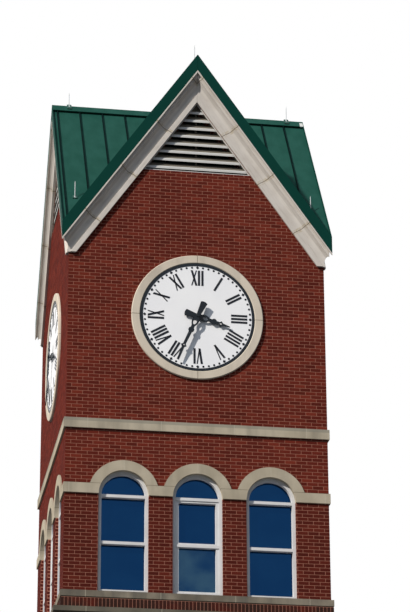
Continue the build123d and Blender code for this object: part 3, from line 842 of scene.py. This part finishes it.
def make_bricks(material, grimy_and_shaded):
    """The bricks of every wall: front and back ones close the corners, and the others stand between."""
    makers = {
        "gable": (gable_sheet, FACE), "belfry": (belfry_sheet, FACE),
        "middle": (middle_sheet, SHAFT_FACE), "lower": (lower_sheet, SHAFT_FACE)}
    for level, (maker, face) in makers.items():
        for swap, sides in ((0, ("back", "front")), (1, ("right", "left"))):
            sheet = maker(face + (0 if swap else BRICK_PROUD), swap)
            for side in sides:
                if level == "lower" and side == "front":
                    cut_door(sheet)
                dress(turned_copy(sheet, f"{level}_bricks_{side}", side), material)
            bpy.data.objects.remove(sheet)
    for side in SIDES:
        reach = SOLDIER_HIGH.x + (BRICK_PROUD if side in ("front", "back") else 0)
        sheet = soldier_sheet(reach)
        dress(turned_copy(sheet, f"soldier_bricks_{side}", side), grimy_and_shaded)
        bpy.data.objects.remove(sheet)


def dial_face():
    """How far out the enamel of the dial plates lies."""
    return DIAL_HIGH.x - DIAL_RIM_RISE + PLATE_RISE


def stroke(x_foot, x_head, width):
    """One stroke of a numeral at the top of the front dial, leaning from its foot to its head."""
    face_y = -dial_face()
    low = (x_foot - width / 2, face_y - FIGURE_RISE, DIAL_CENTRE + NUMERAL_INNER)
    high = (x_foot + width / 2, face_y + FIGURE_RISE, DIAL_CENTRE + NUMERAL_OUTER)
    bar = block(low, high)
    for vertex in bar.data.vertices:
        if vertex.co.z > DIAL_CENTRE + (NUMERAL_INNER + NUMERAL_OUTER) / 2:
            vertex.co.x += x_head - x_foot
    return bar


def make_dial_plates(material):
    """The enamelled plate on each dial, dished inside its rim and pierced for the hands' arbor."""
    face_y = -dial_face()
    seat_y = face_y + PLATE_RISE
    rim_y = face_y - PLATE_RIM_RISE
    y_front, y_back = rim_y - CUTTER_DEPTH, seat_y + CUTTER_DEPTH
    radius = DIAL_RADIUS - HAIR
    plate = disc(0, DIAL_CENTRE, radius, rim_y, seat_y, DIAL_SIDES)
    combine(plate, disc(0, DIAL_CENTRE, radius - PLATE_RIM_WIDTH, y_front, face_y, DIAL_SIDES))
    combine(plate, disc(0, DIAL_CENTRE, PLATE_HOLE, y_front, y_back, HOLE_SIDES))
    dress_sides(plate, "dial_plate", material)


def rake_strip(strip):
    """A strip of the cornice along both rakes of the front gable, mitred at the ridge and the corners."""
    slope = math.atan(ROOF_RISE_PER_RUN)
    halves = []
    for hand in (1, -1):
        left, right = sorted((-STRIP_PAST_RIDGE * hand, STRIP_LENGTH * hand))
        low = (left, -FACE - strip["front"], -strip["foot"])
        high = (right, -FACE - strip["back"], -strip["top"])
        half = ease_edges(block(low, high))
        half.matrix_world = Matrix.Translation((0, 0, ROOF_APEX)) @ Matrix.Rotation(hand * slope, 4, "Y")
        place_in_mesh(half)
        keep_below(half, (hand * RIDGE_HALF_GAP, 0, 0), (-hand, 0, 0))
        keep_below(half, (0, -RIDGE_HALF_GAP, 0), (hand, 1, 0))
        halves.append(keep_below(half, (0, 0, CORNICE_FOOT), (0, 0, -1)))
    return joined("strip", halves)


def make_rake_strips(material):
    """The bead under each fascia and the fillet at the cornice's foot."""
    for name, sizes in (("rake_bead", BEAD), ("rake_fillet", FILLET)):
        dress_sides(rake_strip(sizes), name, material)


def numeral(letters):
    """The strokes of a Roman numeral, upright at the top of the front dial."""
    spread_width = NUMERAL_SPREAD + NUMERAL_STEP / 2
    widths = {"I": NUMERAL_STEP, "V": spread_width, "X": spread_width}
    x = -sum(widths[letter] for letter in letters) / 2
    lean = NUMERAL_SPREAD / 2
    strokes = []
    for letter in letters:
        middle = x + widths[letter] / 2
        foot_lean = lean if letter == "X" else 0
        if letter == "I":
            strokes.append(stroke(middle, middle, NUMERAL_THICK))
        else:
            strokes.append(stroke(middle + foot_lean, middle - lean, NUMERAL_THICK))
            strokes.append(stroke(middle - foot_lean, middle + lean, NUMERAL_THIN))
        x += widths[letter]
    return strokes


def turn_on_dial(piece, degrees):
    """Turns a piece clockwise about the front dial's axis."""
    centre = Matrix.Translation((0, 0, DIAL_CENTRE))
    piece.matrix_world = centre @ Matrix.Rotation(math.radians(degrees), 4, "Y") @ centre.inverted()
    return place_in_mesh(piece)


def make_numerals(material):
    """Roman numerals and sixty minute marks, raised on each dial."""
    y_front, y_back = -dial_face() - FIGURE_RISE, -dial_face() + FIGURE_RISE
    pieces = []
    for hour, letters in enumerate(NUMERALS):
        figure = joined("numeral", numeral(letters))
        pieces.append(turn_on_dial(figure, 360 / len(NUMERALS) * hour))
    for minute in range(MINUTES):
        on_figure = minute % MINUTES_PER_FIGURE == 0
        radius, sides = (HOUR_MARK, LOZENGE_SIDES) if on_figure else (MINUTE_DOT, DOT_SIDES)
        mark = disc(0, DIAL_CENTRE + MARK_RADIUS, radius, y_front, y_back, sides)
        pieces.append(turn_on_dial(mark, 360 / MINUTES * minute))
    dress_sides(joined("figures", pieces), "dial_figures", material)


def make_door_pulls(material):
    """A pull handle on its rose on each leaf of the door."""
    for hand, name in ((1, "right"), (-1, "left")):
        x = hand * PULL_FROM_MIDDLE
        parts = []
        for part in PULL_PARTS:
            low = (x - part["half"], LEAF_LOW.y - part["front"], part["foot"])
            high = (x + part["half"], LEAF_LOW.y - part["back"], part["head"])
            parts.append(block(low, high))
        pull = ease_edges(joined(f"door_pull_{name}", parts))
        dress(pull, material)


def finish_node(node, material):
    """A CAD node takes a finish."""
    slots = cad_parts[node].data.materials
    slots.clear()
    slots.append(material)


def make_camera():
    """The photograph's camera, at its place and turn."""
    yaw, pitch, roll = (math.radians(angle) for angle in (CAMERA_YAW, CAMERA_PITCH, CAMERA_ROLL))
    forward = Vector((math.sin(yaw) * math.cos(pitch), math.cos(yaw) * math.cos(pitch), math.sin(pitch)))
    level = Vector((math.cos(yaw), -math.sin(yaw), 0))
    top = level.cross(forward)
    right = level * math.cos(roll) + top * math.sin(roll)
    up = top * math.cos(roll) - level * math.sin(roll)
    camera = bpy.data.objects.new("camera", bpy.data.cameras.new("camera"))
    bpy.context.scene.collection.objects.link(camera)
    turn = Matrix((right, up, -forward)).transposed().to_4x4()
    camera.matrix_world = Matrix.Translation((CAMERA_X, CAMERA_Y, STRING_FOOT - CAMERA_BELOW_STRING)) @ turn
    camera.data.lens = CAMERA_LENS
    camera.data.clip_end = CAMERA_FAR_LIMIT
    bpy.context.scene.camera = camera


def seen_rays(tree):
    """1 for what the camera sees itself, in a mirror or through glass."""
    rays = tree.nodes.new("ShaderNodeLightPath")
    kinds = ("Is Camera Ray", "Is Glossy Ray", "Is Transmission Ray")
    camera, glossy, clear = (Socket(tree, rays.outputs[kind]) for kind in kinds)
    return (camera + glossy + clear) > 0.5


def make_lights():
    """The lamps, and a dim room, brighter above, that is seen as white."""
    for name, lamp in LAMPS.items():
        sun = bpy.data.objects.new(name, bpy.data.lights.new(name, "SUN"))
        bpy.context.scene.collection.objects.link(sun)
        sun.data.energy = lamp["energy"]
        sun.data.color = lamp["tint"]
        sun.data.angle = math.radians(lamp["spread"])
        sun.visible_glossy = name != LAMP_OUT_OF_MIRRORS
        sun.rotation_euler = Vector(lamp["toward"]).to_track_quat("Z", "Y").to_euler()
    world = bpy.data.worlds.new("room")
    bpy.context.scene.world = world
    world.use_nodes = True
    tree = world.node_tree
    parts = tree.nodes.new("ShaderNodeSeparateXYZ")
    tree.links.new(add_node(tree, "ShaderNodeTexCoord").output, parts.inputs[0])
    height = Socket(tree, parts.outputs[2])
    level = height.smooth(*ROOM_FADE) * (ROOM_ABOVE - ROOM_BELOW) + ROOM_BELOW
    seen = seen_rays(tree)
    background = tree.nodes["Background"]
    tree.links.new(mix(seen, SKY_TINT, WHITE).output, background.inputs["Color"])
    tree.links.new((seen + (1 - seen) * level).output, background.inputs["Strength"])


def make_floor():
    """A plain pale floor, darker to the light that it throws back on the tower."""
    clear_selection()
    bpy.ops.mesh.primitive_circle_add(
        vertices=FLOOR_SIDES, radius=FLOOR_RADIUS, fill_type="NGON", location=(0, 0, 0))
    floor = bpy.context.object
    floor.name = "floor"
    f = Finish("pale_floor", Roughness=0.9)
    pale = mix(f.noise(scale=0.5, detail=2), FLOOR_DARK, FLOOR_PALE)
    f.set(Base_Color=mix(seen_rays(f.tree), FLOOR_SHADE, pale))
    floor.data.materials.append(f.material)


def dress_nodes(enamel, cornice):
    """Every CAD node gets its finish."""
    brickwork = {
        "lower_wall": wall_finish("lower_wall_mortar", PLINTH_TOP, SHAFT_FACE),
        "middle_wall": wall_finish("middle_wall_mortar", MIDDLE_FOOT, SHAFT_FACE),
        "belfry_wall": wall_finish("belfry_wall_mortar", BELFRY_FOOT, FACE),
        "gable_wall": wall_finish("gable_wall_mortar", STRING_TOP, FACE),
        "soldier_course": wall_finish("soldier_mortar", SOLDIER_LOW.z, FACE),
    }
    buff = stone_finish("limestone", BUFF, weathering=0.25)
    string = stone_finish("string_limestone", BUFF, weathering=0.35, find_joints=course_joints)
    arcade = stone_finish(
        "arcade_limestone", BUFF, weathering=0.25, find_joints=arcade_joints, springing=True)
    sill = stone_finish("sill_limestone", SILL_GREY, weathering=0.7, find_joints=course_joints)
    worn = stone_finish("weathered_limestone", SHELF_GREY, weathering=0.5, find_joints=course_joints)
    ring = stone_finish(
        "ring_limestone", RING_BUFF, weathering=0.2, find_joints=ring_joints, joint=JOINT_DARK)
    white = paint_finish("white_joinery", JOINERY_WHITE, roughness=0.5)
    glass = glass_finish()
    named = {
        "plinth": worn,
        "shaft_sill_courses": sill,
        "shelf_course": worn,
        "belfry_sill_course": sill,
        "soldier_course": brickwork["soldier_course"],
        "string_course": string,
        "shaft_arcades": arcade,
        "belfry_arcade": arcade,
        "door_surround": buff,
        "dial_rings": ring,
        "shaft_window_frames": white,
        "belfry_window_frames": white,
        "shaft_window_glass": glass,
        "belfry_window_glass": glass,
        "door_leaves": paint_finish("door_paint", DOOR_GREEN, roughness=0.4),
        "ground_floor": paint_finish("concrete", CONCRETE_GREY, roughness=0.9),
        "upper_floors": paint_finish("boards", BOARD_BROWN, roughness=0.7),
        "dials": enamel,
        "rake_cornices": cornice,
        "rake_fascias": paint_finish("green_fascia_metal", FASCIA_GREEN, roughness=0.6, specular=0.05),
        "roof_slopes": roof_finish(),
        "ridge_caps": ridge_finish(),
        "gable_vents": vent_finish(),
        "lightning_rods": rod_finish(),
    }
    hand = paint_finish("hand_paint", HAND_BLACK, roughness=0.4)
    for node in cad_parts:
        level = node.rsplit("_", 1)[0]
        finish_node(node, named.get(node) or brickwork.get(level) or hand)


bpy.context.scene.view_settings.view_transform = "Standard"
make_camera()
make_lights()
make_floor()
enamel, cornice = dial_finish(), cornice_finish()
dress_nodes(enamel, cornice)
make_dial_plates(enamel)
make_rake_strips(cornice)
make_bricks(brick_finish("dark_red_brick"), brick_finish("grimy_shaded_brick", grime_and_shade=0.85))
make_numerals(paint_finish("figure_paint", FIGURE_BLACK, roughness=0.45))
make_door_pulls(paint_finish("pull_metal", PULL_GREY, roughness=0.3, metallic=0.9))
